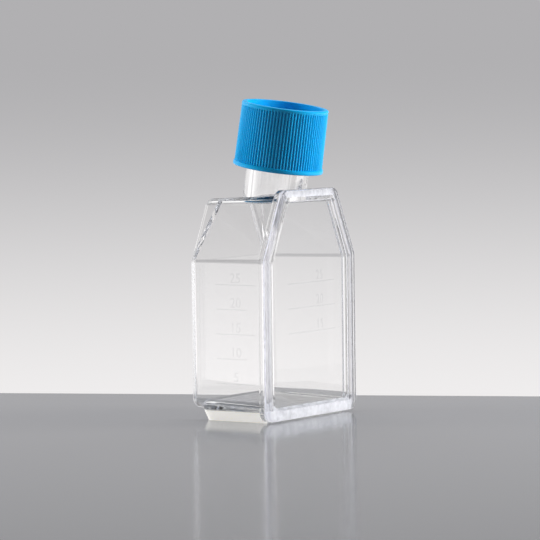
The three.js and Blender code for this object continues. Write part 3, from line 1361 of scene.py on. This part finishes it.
@dataclass
class Studio:
    """A pale floor, a soft backdrop, softboxes and the camera."""

    azimuth: float = -56.641
    elevation: float = 3.315
    roll: float = -0.722
    distance: float = 765.7
    aim: tuple[float, float, float] = (-0.061, 1.523, 34.642)
    focal_length: float = 214.77
    clipping: tuple[float, float] = (0.01, 20.0)
    table_width: float = 174.0
    table_front: float = 420.0
    table_back: float = 50.0
    table_turn: float = -11.0
    # The backdrop is pale at the table and greyer above, between two heights of a ray.
    pale: str = "#f1efef"
    grey: str = "#b1b0b2"
    fade: tuple[float, float] = (-0.11, 0.01)
    # Above it the room is dim, but for the screens of the lamps.
    dimming: tuple[float, float] = (0.08, 0.5)
    room_level: float = 0.5
    fill_level: float = 0.12
    glows: tuple[Glow, ...] = (
        Glow(50, 8, 10, 30, 0.6), Glow(-98, 2, 10, 26, 0.5), Glow(100, -12, 6, 18, 0.5),
        Glow(138, 1, 4, 13, 0.3), Glow(152, -4, 3, 9, 0.35), Glow(-145, -10, 4, 12, 0.4),
        Glow(-135, 0, 4, 12, 0.5), Glow(-155, 8, 5, 15, 0.3), Glow(114, -5, 3, 8, 0.25),
        Glow(-70, -4, 4, 9, 0.2), Glow(-120, 22, 8, 20, 0.8), Glow(-156, 36, 8, 22, 0.6),
        Glow(175, 62, 10, 32, 0.6))
    # Black flags darken the side of the camera and strips beside the lamps.
    flags: tuple[Glow, ...] = (
        Glow(0, 0, 35, 75, -0.5), Glow(105, -4, 3, 7, -0.45), Glow(165, -8, 3, 8, -0.35),
        Glow(150, -14, 4, 12, -0.3), Glow(120, 30, 8, 24, -0.45))
    softboxes: tuple[Softbox, ...] = (
        Softbox("right_softbox", 90, 14, 480, (220, 420), 1.75),
        Softbox("left_softbox", -96, 14, 480, (220, 420), 1.15),
        Softbox("top_softbox", 175, 60, 520, (420, 320), 0.7))

    def towards(self, azimuth: float, elevation: float) -> Vector:
        """A direction out from the flask.

        Args:
            azimuth: Its angle from the camera's side, in degrees to the right.
            elevation: Its height above the horizon, in degrees.

        Returns:
            The unit vector.
        """
        turn, lift = math.radians(self.azimuth + azimuth), math.radians(elevation)
        return Vector((math.sin(turn) * math.cos(lift), -math.cos(turn) * math.cos(lift),
                       math.sin(lift)))

    def stand(self, name: str, data: ID, centre: Vector, out: Vector, distance: float,
              roll: float = 0.0) -> Object:
        """Stands a camera or a lamp off in a direction, so that it faces a point.

        Args:
            name: Its name.
            data: The camera or lamp.
            centre: The point that it faces, in millimetres.
            out: The direction out to it.
            distance: How far off it stands.
            roll: How far it is turned about its own axis, in degrees.

        Returns:
            The new object.
        """
        made = linked(name, data)
        level = out.to_track_quat("Z", "Y").to_matrix().to_4x4()
        made.matrix_world = (Matrix.Translation((centre + out * distance) * MM) @ level
                             @ Matrix.Rotation(math.radians(roll), 4, "Z"))
        return made

    def camera(self) -> None:
        """Makes the camera at the viewing angle."""
        data = bpy.data.cameras.new("camera")
        data.lens = self.focal_length
        data.clip_start, data.clip_end = self.clipping
        out = self.towards(0, self.elevation)
        bpy.context.scene.camera = self.stand("camera", data, Vector(self.aim), out, self.distance,
                                              self.roll)

    def floor(self) -> None:
        """A pale glossy table top whose back edge stands a little behind the flask."""
        bm = bmesh.new()
        bmesh.ops.create_grid(bm, x_segments=1, y_segments=1, size=0.5)
        depth = self.table_front + self.table_back
        bmesh.ops.scale(bm, vec=(self.table_width, depth, 1), verts=bm.verts)
        bmesh.ops.translate(bm, vec=(0, self.table_back - depth / 2, 0), verts=bm.verts)
        place(bm, Matrix.Rotation(math.radians(self.azimuth + self.table_turn), 4, "Z"))
        table = as_object("studio_floor", bm, [PaleAcrylic("pale_acrylic").material()])
        table.data.transform(Matrix.Scale(MM, 4))
        table.visible_glossy = False

    def glow(self, nodes: Nodes, ray: NodeSocket, lobe: Glow, so_far: Node | None) -> Node:
        """Adds a glow to what a ray meets.

        Args:
            nodes: The world's nodes.
            ray: The direction of the ray.
            lobe: The glow.
            so_far: The light that the glow is added to, if there is any yet.

        Returns:
            The light with the glow in it.
        """
        near = nodes.add("VectorMath", {
            "operation": "DOT_PRODUCT", 1: self.towards(lobe.azimuth, lobe.elevation)}, {0: ray})
        share = nodes.add("MapRange", {
            "interpolation_type": "SMOOTHSTEP", "From Min": math.cos(math.radians(lobe.outer)),
            "From Max": math.cos(math.radians(lobe.inner)), "To Max": lobe.level},
            {"Value": near.outputs["Value"]})
        if so_far is None:
            return share
        return nodes.add("Math", {"operation": "ADD"}, {0: so_far, 1: share})

    def backdrop(self) -> None:
        """A backdrop that is pale at the floor and greyer above, the glow of the lamps' screens
        in gloss and clear plastic, and a plain grey fill light."""
        world = bpy.data.worlds.new("studio")
        bpy.context.scene.world = world
        world.use_nodes = True
        nodes = Nodes(world.node_tree)
        ray = nodes.add("TexCoord").outputs["Generated"]
        rise = nodes.add("SeparateXYZ", None, {0: ray}).outputs["Z"]
        height = nodes.add("MapRange", {
            "interpolation_type": "SMOOTHSTEP", "From Min": self.fade[0],
            "From Max": self.fade[1]}, {"Value": rise})
        ramp = nodes.add("Mix", {"data_type": "RGBA", 6: linear(self.pale), 7: linear(self.grey)},
                         {"Factor": height}).outputs[2]
        dark = nodes.add("MapRange", {
            "interpolation_type": "SMOOTHSTEP", "From Min": self.dimming[0],
            "From Max": self.dimming[1], "To Min": 1.0, "To Max": self.room_level},
            {"Value": rise})
        for flag in self.flags:
            dark = self.glow(nodes, ray, flag, dark)
        left_over = nodes.add("Math", {"operation": "MAXIMUM", 1: 0.0}, {0: dark})
        bright = None
        for lobe in self.glows:
            bright = self.glow(nodes, ray, lobe, bright)
        room = nodes.add("Background", None, {"Color": ramp, "Strength": left_over})
        screens = nodes.add("Background", {"Color": linear("#ffffff")}, {"Strength": bright})
        around = nodes.add("AddShader", None, {0: room, 1: screens})
        picture = nodes.add("Background", {"Strength": 1.0}, {"Color": ramp})
        shown = nodes.add("Background", {"Color": linear("#ffffff"), "Strength": self.fill_level})
        path = nodes.add("LightPath")
        for kind, seen in (("Is Glossy Ray", around), ("Is Transmission Ray", around),
                           ("Is Camera Ray", picture)):
            shown = nodes.add("MixShader", None, {0: path.outputs[kind], 1: shown, 2: seen})
        nodes.add("OutputWorld", None, {"Surface": shown})

    def lamp(self, box: Softbox) -> None:
        """Hangs a softbox. What gloss and clear plastic show of it is the glow in the world.

        Args:
            box: The softbox.
        """
        data = bpy.data.lights.new(box.name, "AREA")
        data.shape = "RECTANGLE"
        data.size, data.size_y = box.size[0] * MM, box.size[1] * MM
        # A face turned to the lamp is at level 1 when it gets pi watts on each square metre.
        data.energy = box.level * math.pi * math.pi * (box.distance * MM) ** 2
        made = self.stand(box.name, data, Vector((0, 0, self.aim[2])),
                          self.towards(box.azimuth, box.elevation), box.distance)
        made.visible_camera = made.visible_glossy = made.visible_transmission = False

    def build(self) -> None:
        """Sets up the whole studio."""
        self.camera()
        self.floor()
        self.backdrop()
        for box in self.softboxes:
            self.lamp(box)


def main() -> None:
    """Builds the studio and the flask."""
    logging.basicConfig(level=logging.INFO, format="%(name)s: %(message)s")
    scene = bpy.context.scene
    scene.view_settings.view_transform = "Standard"
    scene.cycles.max_bounces = BOUNCES
    scene.cycles.transmission_bounces = BOUNCES
    scene.cycles.transparent_max_bounces = BOUNCES
    scene.cycles.glossy_bounces = BOUNCES // 2
    Studio().build()
    clear_body = ClearPolystyrene("crystal_polystyrene_body").material()
    clear_plate = ClearPolystyrene("crystal_polystyrene_plate").material()
    blue = BluePolyethylene("blue_polyethylene").material()
    weld_haze = WeldHaze("welded_polystyrene").material()
    outline = Outline()
    etched = EtchedSkirt("etched_polystyrene_skirt").material()
    body = FlaskBody(outline, [clear_body, weld_haze, etched])
    body.build()
    satin = SatinEdge("satin_polystyrene_edge").material()
    plate = TopPlate(outline, [clear_plate, weld_haze, satin])
    plate.build()
    ScrewCap(body, blue).build()
    frosted = FrostedMark("etched_polystyrene_mark").material()
    # A line every 5 ml, 5.8 mm apart, and every second one shorter.
    side = [FillMark(height=8.9 + 5.8 * i, length=8.8 if i % 2 else 11.6,
                     number=f"{5 * i + 5}", shift=-1.2 if i % 2 else 0.0) for i in range(5)]
    FillMarks("side_scale", body.side_wall(), body.side_run(), side, frosted).build()
    front = [FillMark(mark.height, length=20.0, number=mark.number, number_at=3.5)
             for mark in side[2:]]
    FillMarks("front_scale", plate.panel_middle(), Vector((1, 0, 0)), front, frosted).build()


if __name__ == "__main__":
    main()
